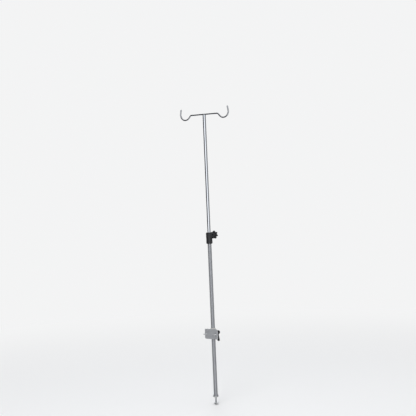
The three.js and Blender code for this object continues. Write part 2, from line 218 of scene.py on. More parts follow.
def nets(f, lo, hi, step):
    """The zero surface of f as quads, with its points then moved onto the surface."""
    ax = [np.arange(lo[i] - 2 * step, hi[i] + 2.5 * step, step) for i in range(3)]
    X, Y, Z = np.meshgrid(*ax, indexing="ij")
    V = f(X, Y, Z)
    S = V < 0
    nx, ny, nz = V.shape
    acc = np.zeros((nx - 1, ny - 1, nz - 1, 3))
    cnt = np.zeros((nx - 1, ny - 1, nz - 1))
    corners = [(a, b, c) for a in (0, 1) for b in (0, 1) for c in (0, 1)]

    def part(A, c):
        return A[c[0]:nx - 1 + c[0], c[1]:ny - 1 + c[1], c[2]:nz - 1 + c[2]]

    for i, c in enumerate(corners):
        for d in range(3):
            if c[d]:
                continue
            e = list(c)
            e[d] = 1
            va, vb = part(V, c), part(V, e)
            cross = (va < 0) != (vb < 0)
            t = np.where(cross, va / np.where(va == vb, 1, va - vb), 0)
            for k in range(3):
                acc[..., k] += np.where(cross, c[k] + (t if k == d else 0), 0)
            cnt += cross
    active = cnt > 0
    ids = -np.ones(active.shape, int)
    ids[active] = np.arange(active.sum())
    ijk = np.argwhere(active)
    P = (ijk + acc[active] / cnt[active][:, None]) * step + np.array([a[0] for a in ax])
    faces = []
    for d in range(3):
        o = [i for i in range(3) if i != d]
        a = [slice(1, -1)] * 3
        b = [slice(1, -1)] * 3
        a[d], b[d] = slice(0, -1), slice(1, None)
        sa, sb = S[tuple(a)], S[tuple(b)]
        e = np.argwhere(sa != sb)
        if not len(e):
            continue
        flip = sa[tuple(e.T)]
        off = np.zeros(3, int)
        off[o[0]] = off[o[1]] = 1
        base = e + off
        q = []
        for u, v in ((0, 0), (1, 0), (1, 1), (0, 1)):
            s = base.copy()
            s[:, o[0]] -= u
            s[:, o[1]] -= v
            q.append(ids[tuple(s.T)])
        q = np.stack(q, 1)
        q[flip] = q[flip][:, ::-1]
        faces.append(q)
    F = np.concatenate(faces)
    eps = 0.02
    for _ in range(5):
        x, y, z = P.T
        v = f(x, y, z)
        g = np.stack([
            f(x + eps, y, z) - f(x - eps, y, z),
            f(x, y + eps, z) - f(x, y - eps, z),
            f(x, y, z + eps) - f(x, y, z - eps),
        ], 1) / (2 * eps)
        m = np.maximum((g ** 2).sum(1), 0.05)
        move = (v / m)[:, None] * g
        ln = np.linalg.norm(move, axis=1, keepdims=True)
        P = P - move * np.minimum(1, 0.4 * step / np.maximum(ln, 1e-9))
    return P, F


def moulded(name, f, lo, hi, step, body, nodes=(), mats=(), sharp=50):
    P, F = nets(f, lo, hi, step)
    return make(name, P, F, body, nodes, mats, sharp)


# =====================================================================================
# materials
# =====================================================================================
class Mat:
    """A principled material whose colour, roughness and bump are built from noise in object space."""

    def __init__(self, name, **values):
        self.m = bpy.data.materials.new(name)
        self.m.use_nodes = True
        self.nt = self.m.node_tree
        self.nt.nodes.clear()
        self.out = self.new("ShaderNodeOutputMaterial")
        self.p = self.new("ShaderNodeBsdfPrincipled")
        self.nt.links.new(self.p.outputs[0], self.out.inputs[0])
        self.tc = self.new("ShaderNodeTexCoord").outputs["Object"]
        for k, v in values.items():
            self.p.inputs[k.replace("_", " ")].default_value = v

    def new(self, kind, **props):
        n = self.nt.nodes.new(kind)
        for k, v in props.items():
            setattr(n, k, v)
        return n

    def link(self, a, b):
        self.nt.links.new(a, b)

    def coords(self, scale):
        n = self.new("ShaderNodeMapping")
        n.inputs["Scale"].default_value = scale
        self.link(self.tc, n.inputs["Vector"])
        return n.outputs[0]

    def noise(self, scale=(1, 1, 1), size=1.0, detail=2.0, rough=0.5, dist=0.0):
        """Noise whose grain is about size millimetres."""
        n = self.new("ShaderNodeTexNoise")
        n.inputs["Scale"].default_value = 1000.0 / size
        n.inputs["Detail"].default_value = detail
        n.inputs["Roughness"].default_value = rough
        n.inputs["Distortion"].default_value = dist
        self.link(self.coords(scale), n.inputs["Vector"])
        return n.outputs["Fac"]

    def cells(self, size, feature="F1"):
        n = self.new("ShaderNodeTexVoronoi")
        n.feature = feature
        n.inputs["Scale"].default_value = 1000.0 / size
        self.link(self.tc, n.inputs["Vector"])
        return n

    def ramp(self, fac, stops):
        n = self.new("ShaderNodeValToRGB")
        e = n.color_ramp.elements
        while len(e) < len(stops):
            e.new(0.5)
        for el, (pos, col) in zip(e, stops):
            el.position = pos
            el.color = (*col, 1) if len(col) == 3 else col
        self.link(fac, n.inputs[0])
        return n.outputs[0]

    def range(self, fac, a, b, lo, hi):
        n = self.new("ShaderNodeMapRange")
        n.inputs["From Min"].default_value = a
        n.inputs["From Max"].default_value = b
        n.inputs["To Min"].default_value = lo
        n.inputs["To Max"].default_value = hi
        self.link(fac, n.inputs["Value"])
        return n.outputs[0]

    def math(self, op, a, b=None, c=None):
        n = self.new("ShaderNodeMath", operation=op)
        for i, v in enumerate((a, b, c)):
            if v is None:
                continue
            if isinstance(v, (int, float)):
                n.inputs[i].default_value = v
            else:
                self.link(v, n.inputs[i])
        return n.outputs[0]

    def mix(self, fac, a, b, mode="MIX"):
        n = self.new("ShaderNodeMix", data_type="RGBA", blend_type=mode)
        n.clamp_factor = True
        for v, s in ((fac, n.inputs[0]), (a, n.inputs[6]), (b, n.inputs[7])):
            if isinstance(v, (int, float)):
                s.default_value = v
            elif isinstance(v, tuple):
                s.default_value = (*v, 1)
            else:
                self.link(v, s)
        return n.outputs[2]

    def bump(self, *layers):
        """Layers of (height, strength, distance in millimetres), the first one innermost."""
        last = None
        for height, strength, distance in layers:
            n = self.new("ShaderNodeBump")
            n.inputs["Strength"].default_value = strength
            n.inputs["Distance"].default_value = distance * MM
            self.link(height, n.inputs["Height"])
            if last is not None:
                self.link(last, n.inputs["Normal"])
            last = n.outputs[0]
        self.link(last, self.p.inputs["Normal"])

    def xyz(self):
        n = self.new("ShaderNodeSeparateXYZ")
        self.link(self.tc, n.inputs[0])
        return n.outputs

    def set(self, socket, value):
        self.link(value, self.p.inputs[socket])


def chrome():
    """Bright chrome on drawn tube: lengthwise draw lines, faint cloudy wipe marks and hairline scratches round it."""
    m = Mat("chrome_tube", Metallic=1.0)
    lines = m.noise((1, 1, 0.012), 0.45, 3, 0.6)
    fine = m.noise((1, 1, 0.004), 0.16, 2, 0.55)
    cloud = m.noise((1, 1, 0.35), 34, 3, 0.62, 0.6)
    wipe = m.noise((0.7, 0.7, 3.2), 9, 4, 0.7, 1.2)
    scratch = m.noise((0.06, 0.06, 1.0), 0.5, 1, 0.5, 0.3)
    mark = m.range(scratch, 0.70, 0.78, 0.0, 1.0)
    colour = m.ramp(cloud, [(0.25, (0.72, 0.745, 0.78)), (0.55, (0.80, 0.815, 0.84)), (0.8, (0.84, 0.85, 0.865))])
    colour = m.mix(m.math("MULTIPLY", mark, 0.10), colour, (0.55, 0.57, 0.60))
    m.set("Base Color", colour)
    rough = m.range(wipe, 0.35, 0.75, 0.045, 0.115)
    rough = m.math("ADD", rough, m.range(lines, 0.3, 0.7, 0.0, 0.035))
    rough = m.math("ADD", rough, m.math("MULTIPLY", mark, 0.10))
    # a dulled line up the side that the height lock's pad bears on
    x, y, z = m.xyz()
    pad = m.math("MULTIPLY", m.range(m.math("ABSOLUTE", x), 0.0012, 0.0027, 1.0, 0.0), m.range(y, 0.005, 0.0072, 0.0, 1.0))
    pad = m.math("MULTIPLY", pad, m.math("MULTIPLY", m.range(z, 0.60, 0.66, 0.0, 1.0), m.range(z, 1.16, 1.19, 1.0, 0.0)))
    pad = m.math("MULTIPLY", pad, m.range(fine, 0.35, 0.65, 0.35, 1.0))
    rough = m.math("ADD", rough, m.math("MULTIPLY", pad, 0.16))
    m.set("Roughness", rough)
    m.bump((lines, 0.10, 0.03), (fine, 0.06, 0.01))
    return m.m


def polished():
    """Polished stainless rod: soft buffing haze, a little duller and straw-tinted beside the welds at the pole."""
    m = Mat("polished_steel", Metallic=1.0)
    haze = m.noise((1, 1, 1), 11, 4, 0.65, 0.8)
    grain = m.noise((0.05, 1, 1), 0.35, 2, 0.6)
    buff = m.noise((1, 1, 1), 1.1, 3, 0.6, 1.5)
    x, y, z = m.xyz()
    far = m.math("ABSOLUTE", x)
    near = m.range(far, 0.006, 0.022, 1.0, 0.0)
    near = m.math("MULTIPLY", near, m.range(haze, 0.25, 0.7, 0.45, 1.0))
    base = m.ramp(haze, [(0.25, (0.50, 0.505, 0.52)), (0.55, (0.61, 0.615, 0.63)), (0.8, (0.67, 0.675, 0.685))])
    tint = m.ramp(m.range(far, 0.006, 0.022, 0.0, 1.0), [(0.0, (0.47, 0.45, 0.44)), (0.35, (0.44, 0.47, 0.56)), (0.6, (0.60, 0.54, 0.44)), (1.0, (0.61, 0.60, 0.59))])
    m.set("Base Color", m.mix(m.math("MULTIPLY", near, 0.55), base, tint))
    rough = m.range(haze, 0.3, 0.75, 0.12, 0.22)
    rough = m.math("ADD", rough, m.range(buff, 0.4, 0.75, 0.0, 0.06))
    rough = m.math("ADD", rough, m.math("MULTIPLY", near, 0.10))
    m.set("Roughness", rough)
    m.bump((buff, 0.10, 0.03), (grain, 0.06, 0.015))
    return m.m


def paint(name="silver_paint", tube=False):
    """Silver-grey powder coat: fine orange peel, metallic flakes, a little darker where it is handled; on the tube the
    coat is also darkened all over by a painted shade.
    """
    m = Mat(name, Metallic=0.45, Coat_Weight=0.12, Coat_Roughness=0.25)
    peel = m.noise((1, 1, 1), 1.5, 2, 0.5)
    fine = m.noise((1, 1, 1), 0.35, 2, 0.6)
    cloud = m.noise((1, 1, 1), 26, 3, 0.6)
    cell = m.cells(0.28)
    flake = m.new("ShaderNodeSeparateColor")
    m.link(cell.outputs["Color"], flake.inputs[0])
    base = m.ramp(cloud, [(0.3, (0.50, 0.51, 0.53)), (0.7, (0.585, 0.595, 0.61))])
    bright = m.range(flake.outputs[0], 0.0, 1.0, 0.0, 1.0)
    base = m.mix(m.range(bright, 0.80, 1.0, 0.0, 0.5), base, (0.82, 0.83, 0.85))
    base = m.mix(m.range(bright, 0.0, 0.22, 0.32, 0.0), base, (0.34, 0.35, 0.37))
    rough = m.range(fine, 0.3, 0.7, 0.34, 0.50)
    if tube:
        # a painted shade darkens the tube's whole coat, standing in for the shade under the chair's seat; the coat is
        # also burnished in long streaks where the tube runs through its bushes and where the clamp pad bears
        x, y, z = m.xyz()
        # painted shade: the whole coat multiplied darker
        base = m.mix(1.0, base, (0.62, 0.62, 0.63), "MULTIPLY")
        streak = m.noise((1, 1, 0.02), 0.9, 3, 0.6)
        run = m.math("MULTIPLY", m.range(z, 0.005, 0.02, 0.0, 1.0), m.range(z, 0.345, 0.37, 1.0, 0.0))
        run = m.math("MULTIPLY", run, m.range(streak, 0.56, 0.72, 0.0, 1.0))
        pad = m.math("MULTIPLY", m.range(m.math("ABSOLUTE", x), 0.0018, 0.0034, 1.0, 0.0), m.range(y, 0.006, 0.0085, 0.0, 1.0))
        pad = m.math("MULTIPLY", pad, m.math("MULTIPLY", m.range(z, 0.035, 0.05, 0.0, 1.0), m.range(z, 0.316, 0.32, 1.0, 0.0)))
        pad = m.math("MULTIPLY", pad, m.range(streak, 0.35, 0.6, 0.3, 1.0))
        wear = m.math("MAXIMUM", m.math("MULTIPLY", run, 0.5), m.math("MULTIPLY", pad, 0.75))
        base = m.mix(wear, base, (0.46, 0.465, 0.48))
        rough = m.math("SUBTRACT", rough, m.math("MULTIPLY", wear, 0.14))
    m.set("Base Color", base)
    m.set("Roughness", rough)
    m.bump((peel, 0.30, 0.12), (fine, 0.18, 0.03))
    return m.m


def zinc():
    """Bright zinc plate: slightly blue with cloudy yellowish areas, fine crystalline mottle and dull handling marks."""
    m = Mat("zinc_plate", Metallic=1.0)
    cloud = m.noise((1, 1, 1), 7, 4, 0.65, 0.9)
    mottle = m.noise((1, 1, 1), 0.5, 3, 0.6)
    lines = m.noise((1, 1, 14), 1.6, 2, 0.6)
    base = m.ramp(cloud, [(0.25, (0.58, 0.60, 0.64)), (0.5, (0.67, 0.68, 0.68)), (0.75, (0.70, 0.69, 0.63))])
    base = m.mix(m.range(mottle, 0.55, 0.8, 0.0, 0.35), base, (0.48, 0.49, 0.51))
    m.set("Base Color", base)
    m.set("Roughness", m.math("ADD", m.range(cloud, 0.3, 0.7, 0.24, 0.36), m.range(mottle, 0.4, 0.7, 0.0, 0.08)))
    m.bump((mottle, 0.12, 0.03), (lines, 0.08, 0.02))
    return m.m


def black():
    """Moulded black nylon: a fine spark-eroded texture, slightly polished on the parts that hands touch."""
    m = Mat("black_plastic", Specular_IOR_Level=0.45)
    spark = m.noise((1, 1, 1), 0.32, 3, 0.65)
    flow = m.noise((1, 1, 0.3), 14, 3, 0.6, 0.7)
    speck = m.cells(0.45)
    geo = m.new("ShaderNodeNewGeometry")
    edge = m.range(geo.outputs["Pointiness"], 0.515, 0.60, 0.0, 1.0)
    base = m.ramp(flow, [(0.3, (0.014, 0.014, 0.016)), (0.7, (0.026, 0.026, 0.028))])
    base = m.mix(m.math("MULTIPLY", edge, 0.55), base, (0.062, 0.061, 0.060))
    m.set("Base Color", base)
    rough = m.range(spark, 0.35, 0.65, 0.42, 0.60)
    rough = m.math("SUBTRACT", rough, m.math("MULTIPLY", edge, 0.14))
    m.set("Roughness", rough)
    # the mould's parting line runs round collar and lever, in the plane of their symmetry; the knob's is hidden at its rim
    x, y, z = m.xyz()
    seam = m.range(m.math("ABSOLUTE", x), 0.00010, 0.00028, 1.0, 0.0)
    knob = m.math("MULTIPLY", m.range(z, 0.60, 0.61, 0.0, 1.0), m.range(y, 0.0280, 0.0285, 0.0, 1.0))
    seam = m.math("MULTIPLY", seam, m.math("SUBTRACT", 1.0, knob))
    m.bump((spark, 0.34, 0.07), (m.range(speck.outputs["Distance"], 0.0, 0.6, 0.0, 1.0), 0.12, 0.04), (seam, 0.5, 0.10))
    return m.m


def nylon():
    """Natural nylon: milky off-white with faint flow marks and a satin moulded skin."""
    m = Mat("natural_nylon", Subsurface_Weight=0.18, Subsurface_Scale=0.0012)
    flow = m.noise((1, 1, 0.4), 8, 4, 0.6, 1.0)
    fine = m.noise((1, 1, 1), 0.4, 2, 0.6)
    m.p.inputs["Subsurface Radius"].default_value = (1.0, 0.85, 0.6)
    m.set("Base Color", m.ramp(flow, [(0.25, (0.72, 0.695, 0.62)), (0.55, (0.80, 0.78, 0.72)), (0.8, (0.85, 0.835, 0.79))]))
    m.set("Roughness", m.range(fine, 0.3, 0.7, 0.38, 0.52))
    m.bump((fine, 0.16, 0.03))
    return m.m


def grey_cap():
    """Smooth grey cover cap, with a faint sunk swirl from the gate and light scuffs."""
    m = Mat("grey_cap", Specular_IOR_Level=0.5)
    flow = m.noise((1, 1, 1), 5, 4, 0.6, 1.6)
    scuff = m.noise((5, 1, 0.5), 1.4, 3, 0.6, 0.4)
    m.set("Base Color", m.ramp(flow, [(0.3, (0.20, 0.208, 0.222)), (0.7, (0.262, 0.272, 0.29))]))
    m.set("Roughness", m.range(scuff, 0.45, 0.75, 0.24, 0.42))
    m.bump((scuff, 0.10, 0.02))
    return m.m


def brass():
    """Turned brass: fine tool rings round the piece and slightly brown in the low spots."""
    m = Mat("brass", Metallic=1.0)
    rings = m.noise((0.05, 1, 0.05), 0.22, 2, 0.6)
    tarnish = m.noise((1, 1, 1), 3.5, 4, 0.65)
    m.set("Base Color", m.ramp(tarnish, [(0.25, (0.56, 0.41, 0.19)), (0.55, (0.73, 0.57, 0.29)), (0.8, (0.80, 0.65, 0.36))]))
    m.set("Roughness", m.math("ADD", m.range(tarnish, 0.3, 0.7, 0.30, 0.20), m.range(rings, 0.3, 0.7, 0.0, 0.10)))
    m.bump((rings, 0.25, 0.03))
    return m.m


def weld():
    """Brushed-down weld metal: pewter grey with straw and blue heat tint."""
    m = Mat("weld_steel", Metallic=1.0)
    cloud = m.noise((1, 1, 1), 2.2, 4, 0.65, 0.8)
    fine = m.noise((1, 1, 1), 0.3, 3, 0.6)
    m.set("Base Color", m.ramp(cloud, [(0.25, (0.46, 0.47, 0.53)), (0.5, (0.62, 0.61, 0.60)), (0.75, (0.66, 0.60, 0.50))]))
    m.set("Roughness", m.range(fine, 0.3, 0.7, 0.20, 0.38))
    m.bump((fine, 0.30, 0.05))
    return m.m


CHROME, STEEL, PAINT, ZINC, BLACK, NYLON, CAP, BRASS, WELD = (
    chrome(), polished(), paint(), zinc(), black(), nylon(), grey_cap(), brass(), weld())
# the tube's coat, darkened all over by a painted shade
SHADE_DARKENED_TUBE_PAINT = paint("silver_tube_paint_painted_shade", True)


# =====================================================================================
# tubes
# =====================================================================================
lo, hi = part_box("outer_tube")
z0 = lo.z / MM
prof = [(8.5, z0, 0.25), (9.5, z0, 0.35)]
prof += [(9.5, z0 + (OUTER_TOP - z0) * k / 24) for k in range(1, 24)]
prof += [(9.5, OUTER_TOP, 0.35), (8.5, OUTER_TOP, 0.25)]
# the outer tube's coat carries a painted shade that makes it darker all over
turned("tube_outer", prof, "pole", ["outer_tube"], [SHADE_DARKENED_TUBE_PAINT], seg=128, closed=True)

# inner tube: its top edge is notched so that the rods lie in a saddle
seg = 160
th = np.arange(seg) * TAU / seg
sad = ROD_R + 0.12


def top_edge(r, dz):
    y = np.abs(r * np.sin(th))
    z = np.full(seg, INNER_TOP - dz)
    cut = BAR_Z - np.sqrt(np.maximum(sad ** 2 - y ** 2, 0)) - dz * 0.5
    return np.where(y < sad, np.minimum(z, cut), z)


rings = [(INNER_IN, INNER_BOTTOM + 0.2), (INNER_IN + 0.2, INNER_BOTTOM), (INNER_R - 0.35, INNER_BOTTOM), (INNER_R - 0.1, INNER_BOTTOM + 0.1), (INNER_R, INNER_BOTTOM + 0.35)]
rings += [(INNER_R, INNER_BOTTOM + (1390 - INNER_BOTTOM) * k / 28) for k in range(1, 29)]
rings += [(INNER_R, top_edge(INNER_R, 2.4)), (INNER_R, top_edge(INNER_R, 0.5)), (INNER_R - 0.14, top_edge(INNER_R - 0.14, 0.14)), (INNER_R - 0.4, top_edge(INNER_R - 0.4, 0.0)),
          (INNER_IN + 0.25, top_edge(INNER_IN + 0.25, 0.0)), (INNER_IN, top_edge(INNER_IN, 0.25)), (INNER_IN, top_edge(INNER_IN, 2.4)), (INNER_IN, 1388.0)]
v, f = stack(rings, seg=seg, closed=True)
make("tube_inner", v, f, "mast", ["inner_tube"], [CHROME])


# =====================================================================================
# hook rods
# =====================================================================================
def hook_line(side, start):
    dz = HOOK_CZ - HOOK_R * math.cos(BEND) + BEND_R - BEND_R * math.cos(BEND)
    dx = -dz / math.tan(BEND)
    x0 = HOOK_CX - (HOOK_R + BEND_R) * math.sin(BEND) - dx
    pts = [(start + (x0 - start) * k / 22, 0.0) for k in range(22)]
    n = 14
    pts += [(x0 + BEND_R * math.sin(BEND * k / n), -BEND_R + BEND_R * math.cos(BEND * k / n)) for k in range(n + 1)]
    a0, a1, n = -math.pi / 2 - BEND, TIP, 66
    x1, z1 = pts[-1]
    xa, za = HOOK_CX + HOOK_R * math.cos(a0), HOOK_CZ + HOOK_R * math.sin(a0)
    pts += [(x1 + (xa - x1) * k / 5, z1 + (za - z1) * k / 5) for k in range(1, 5)]
    pts += [(HOOK_CX + HOOK_R * math.cos(a0 + (a1 - a0) * k / n), HOOK_CZ + HOOK_R * math.sin(a0 + (a1 - a0) * k / n)) for k in range(n + 1)]
    x1, z1 = pts[-1]
    pts += [(x1 - TIP_LEN * math.sin(TIP) * k / 8, z1 + TIP_LEN * math.cos(TIP) * k / 8) for k in range(1, 9)]
    return np.array([(side * x, 0.0, BAR_Z + z) for x, z in pts])


def rod(name, pts, r, body, nodes, mats, seg=40, start_edge=0.5, tip_round=True):
    """A round rod along points in the XZ plane. The free tip is ground to a dome."""
    t = np.gradient(pts, axis=0)
    t /= np.linalg.norm(t, axis=1, keepdims=True)
    sv = np.array([0.0, 1.0, 0.0])
    th = np.arange(seg) * TAU / seg
    verts, rings = [], []

    def ring(c, tt, rad):
        if rad < 1e-6:
            rings.append([len(verts)] * seg)
            verts.append(c)
            return
        up = np.cross(tt, sv)
        rings.append(list(range(len(verts), len(verts) + seg)))
        verts.extend(c + rad * (np.cos(th)[:, None] * sv + np.sin(th)[:, None] * up))

    ring(pts[0], t[0], 0)
    ring(pts[0], t[0], r - start_edge)
    for k in (1, 2, 3):
        a = math.pi / 2 * k / 3
        ring(pts[0] + t[0] * start_edge * (1 - math.cos(a)), t[0], r - start_edge + start_edge * math.sin(a))
    cut = 2.2
    total = pts[-1]
    for i in range(1, len(pts) - 1):
        if np.linalg.norm(pts[i] - total) > cut + 0.2 and np.linalg.norm(pts[i] - pts[0]) > start_edge + 0.2:
            ring(pts[i], t[i], r)
    c = total - t[-1] * cut
    for k in range(0, 9):
        a = math.pi / 2 * k / 8
        ring(c + t[-1] * cut * math.sin(a), t[-1], r * math.cos(a) ** 0.8 if k < 8 else 0)
    faces = []
    for a, b in zip(rings[:-1], rings[1:]):
        for k in range(seg):
            q = []
            for i in (a[k], a[(k + 1) % seg], b[(k + 1) % seg], b[k]):
                if i not in q:
                    q.append(i)
            if len(q) > 2:
                faces.append(tuple(q))
    return make(name, verts, faces, body, nodes, mats, 40)


rod("rod_front", hook_line(1, JOIN_X), ROD_R, "mast", ["hook_front"], [STEEL])
rod("rod_rear", hook_line(-1, -(JOIN_X - GAP)), ROD_R, "mast", ["hook_rear"], [STEEL])


def saddle(x, y, z):
    return np.hypot(y, z - BAR_Z) - (ROD_R + 0.15)


def top_plug(x, y, z):
    d = d_round(np.hypot(x, y), z, 6.6, INNER_TOP - 16, INNER_TOP - 0.4, 0.5)
    return smax(d, -saddle(x, y, z), 0.3)


moulded("plug_top", top_plug, (-7, -7, INNER_TOP - 16.4), (7, 7, INNER_TOP + 0.2), 0.34, "mast", ["top_plug"], [STEEL])


# weld beads: along the saddle on both sides of the tube, beside the rods over the plug, and round the butt joint
def bead(name, path, radius, body, mats, ripple=0.1, pitch=1.1, seg=14, squash=None, closed=False):
    """A weld bead along a path of points, with fish-scale ripples."""
    path = np.array(path)
    d = np.gradient(path, axis=0)
    if closed:
        d = (np.roll(path, -1, 0) - np.roll(path, 1, 0)) / 2
    t = d / np.linalg.norm(d, axis=1, keepdims=True)
    s = np.concatenate([[0], np.cumsum(np.linalg.norm(np.diff(path, axis=0), axis=1))])
    verts, rings = [], []
    th = np.arange(seg) * TAU / seg
    n = len(path)
    for i in range(n):
        ref = np.array(squash if squash is not None else (0, 0, 1.0))
        a = np.cross(t[i], ref)
        if np.linalg.norm(a) < 1e-3:
            a = np.cross(t[i], np.array([1.0, 0, 0]))
        a /= np.linalg.norm(a)
        b = np.cross(t[i], a)
        env = 1.0 if closed else min(1.0, (min(i, n - 1 - i) + 0.35) / 3.0) ** 0.5
        rad = radius * env * (1 + ripple * abs(math.sin(math.pi * s[i] / pitch)))
        rings.append(list(range(len(verts), len(verts) + seg)))
        verts.extend(path[i] + rad * (np.cos(th)[:, None] * a + np.sin(th)[:, None] * b))
    faces = []
    pairs = list(zip(rings[:-1], rings[1:]))
    if closed:
        pairs.append((rings[-1], rings[0]))
    for a, b in pairs:
        for k in range(seg):
            faces.append((a[k], a[(k + 1) % seg], b[(k + 1) % seg], b[k]))
    if not closed:
        for r, i in ((rings[0], 0), (rings[-1], n - 1)):
            verts.append(path[i])
            for k in range(seg):
                faces.append((r[k], r[(k + 1) % seg], len(verts) - 1))
    return make(name, verts, faces, body, (), mats, 60)


for tag, sgn in (("front", 1), ("rear", -1)):
    pts = []
    for k in range(41):
        a = math.radians(-172 + 164 * k / 40)       # under the rod, from one side of the saddle to the other
        y, z = (ROD_R + 0.1) * math.cos(a), BAR_Z + (ROD_R + 0.1) * math.sin(a)
        pts.append((sgn * (math.sqrt(INNER_R ** 2 - y ** 2) + 0.1), y, z))
    bead("weld_saddle_" + tag, pts, 0.85, "mast", [WELD], 0.14, 1.3)
for tag, sgn in (("near", -1), ("far", 1)):
    pts = [(x, sgn * (ROD_R + 0.05), BAR_Z - 0.9) for x in np.linspace(-6.9, 6.9, 34)]
    bead("weld_top_" + tag, pts, 0.75, "mast", [WELD], 0.14, 1.3)
pts = []
for k in range(72):
    a = TAU * k / 72
    pts.append((JOIN_X - GAP / 2, (ROD_R - 0.28) * math.cos(a), BAR_Z + (ROD_R - 0.28) * math.sin(a)))
bead("weld_butt", pts, 0.75, "mast", [WELD], 0.10, 1.4, squash=(1, 0, 0), closed=True)

# =====================================================================================
# inside the tubes
# =====================================================================================
turned("insert_foot", [(6.8, 6.8, 0.3), (6.35, 8.0), (6.35, 50.8, 0.4), (8.2, 50.8, 0.6), (8.2, 6.8, 0.3)], "pole", ["foot_insert"], [NYLON], closed=True)
g = INNER_BOTTOM - GAP
turned("plug_glide", [(2.8, g - 12, 0.2), (5.2, g - 12, 0.2), (5.2, g - 18, 0.3), (7.2, g - 18, 0.3), (8.38, g - 16.8, 0.4),
                      (8.38, g - 11.2, 0.2), (7.9, g - 10.8, 0.2), (7.9, g - 8.6, 0.2), (8.38, g - 8.2, 0.2), (8.38, g, 0.5), (2.8, g, 0.3)],
       "mast_glide", ["glide_plug"], [NYLON], closed=True)
b = INNER_BOTTOM
turned("plug_mast_end", [(0, b + 20.4), (2.8, b + 18.6), (2.8, b, 0.2), (6.5, b, 0.3), (6.5, b + 25, 0.6), (0, b + 25)],
       "mast", ["mast_end_plug"], [ZINC])
z = g - 12 - GAP
hx = hexagon(3.6, 48)
rings = [(0, z - 1.4), (hx, z - 1.4), (hx, z - 3.2), (hx + 0.2, z - 3.4), (3.6, z - 3.4), (4.2, z - 3.15), (4.55, z - 2.6), (4.7, z - 2.0), (4.7, z - 0.3), (4.5, z), (2.9, z), (2.5, z + 0.4), (2.5, z + 12.2)]
rings += thread(2.5, 0.8, z + 12.3, b + 17.6, 48, 0.3, 0.7) + [(0, b + 17.9)]
v, f = stack(rings, seg=48)
make("screw_glide", v, f, "mast", ["glide_screw"], [ZINC])

# =====================================================================================
# foot
# =====================================================================================
turned("spigot_foot", [(0, 33.8), (4.3, 30), (4.3, 0.5), (4.8, 0), (13.6, 0, 0.3), (14, 0.4), (14, 3.2, 0.5), (13.2, 4, 0.3), (6.3, 4, 0.4), (5.98, 4.6), (5.98, 57.6, 0.4), (4.5, 60, 0.5), (0, 60)],
       "chair_mount", ["foot_spigot"], [ZINC])
turned("washer_foot", [(4.3, -32.5, 0.2), (11.7, -32.5, 0.25), (12, -32.2), (12, -30.3), (11.7, -30.0, 0.25), (4.3, -30.0, 0.2)], "chair_mount", ["foot_washer"], [ZINC], closed=True)
flare = []
for k in range(15):
    t = k / 14
    flare.append((12.97 - 2.47 * (1 - (1 - t) ** 2.1) ** 1.25, 5.0 + 5.3 * t))
# the foot ring takes the tube's coat, with the same painted shade darkening it all over
turned("ring_foot", [(6.3, 4.3, 0.2), (12.6, 4.3, 0.25), (12.95, 4.55)] + flare + [(10.5, 10.7), (10.4, 10.92), (10.2, 11.0), (9.8, 11.0, 0.2), (9.8, 6.5, 0.2), (6.3, 6.5, 0.2)],
       "foot_turning_ring", ["foot_ring"], [SHADE_DARKENED_TUBE_PAINT], closed=True, n=5, sharp=40)
SEG = 96
top = -32.8
hx = hexagon(13.0, SEG)
low = top - 5.3
cham = np.maximum(hx - 6.35, 0) * math.tan(math.radians(30))
rings = [(0, low + 0.45), (4.9, low + 0.45), (5.2, low), (6.2, low), (hx * 0.0 + 6.35, low + 0.02), (hx - 0.12, low + cham - 0.03), (hx, low + cham + 0.1), (hx, top - 0.5), (hx - 0.3, top - 0.25), (6.3, top - 0.2), (6.1, top), (4.6, top), (4.0, top + 0.5)]
rings += thread(4.0, 1.25, top + 0.8, 25.4, SEG, 0.5, 0.9) + [(2.9, 25.95), (0, 26.0)]
v, f = stack(rings, seg=SEG)
make("bolt_foot", v, f, "chair_mount", ["foot_bolt"], [ZINC], 30)

# =====================================================================================
# clamp bracket
# =====================================================================================
PF, PB = -14.3, -18.3


def plate(x, y, z):
    zz = z - BRACKET_Z
    hw, hh, r = 38.0, 25.0, 7.0
    qx, qz = np.abs(x) - (hw - r), np.abs(zz) - (hh - r)
    d2 = np.hypot(np.maximum(qx, 0), np.maximum(qz, 0)) + np.minimum(np.maximum(qx, qz), 0) - r
    for cx in (-28.0, 28.0):
        d2 = smax(d2, 3.3 - np.hypot(x - cx, zz), 0.02)
    e = 0.7
    dy = np.abs(y - (PF + PB) / 2) - (PF - PB) / 2
    a, b = d2 + e, dy + e
    return np.minimum(np.maximum(a, b), 0) + np.hypot(np.maximum(a, 0), np.maximum(b, 0)) - e


moulded("plate_bracket", plate, (-38, PB, BRACKET_Z - 25), (38, PF, BRACKET_Z + 25), 0.5, "chair_mount", ["bracket_plate"], [PAINT])


def sleeve(x, y, z):
    r = np.hypot(x, y)
    wall = d_round(np.abs(r - 12.5), z, 1.5, 290, 340, 0.5)
    hole = 4.3 - np.where(y > 0, np.hypot(x, z - BRACKET_Z), 50.0)
    return smax(wall, hole, 0.3)


moulded("sleeve_bracket", sleeve, (-14, -14, 290), (14, 14, 340), 0.5, "chair_mount", ["bracket_sleeve"], [PAINT])


def boss(x, y, z):
    r = np.hypot(x, z - BRACKET_Z)
    d = d_round(r, y, 8.0, 6, 24, 0.9)
    d = smax(d, 4.3 - r, 0.35)
    return smax(d, 14.12 - np.hypot(x, y), 0.1)


moulded("boss_bracket", boss, (-8, 10, BRACKET_Z - 8), (8, 24, BRACKET_Z + 8), 0.42, "chair_mount", ["bracket_boss"], [PAINT])

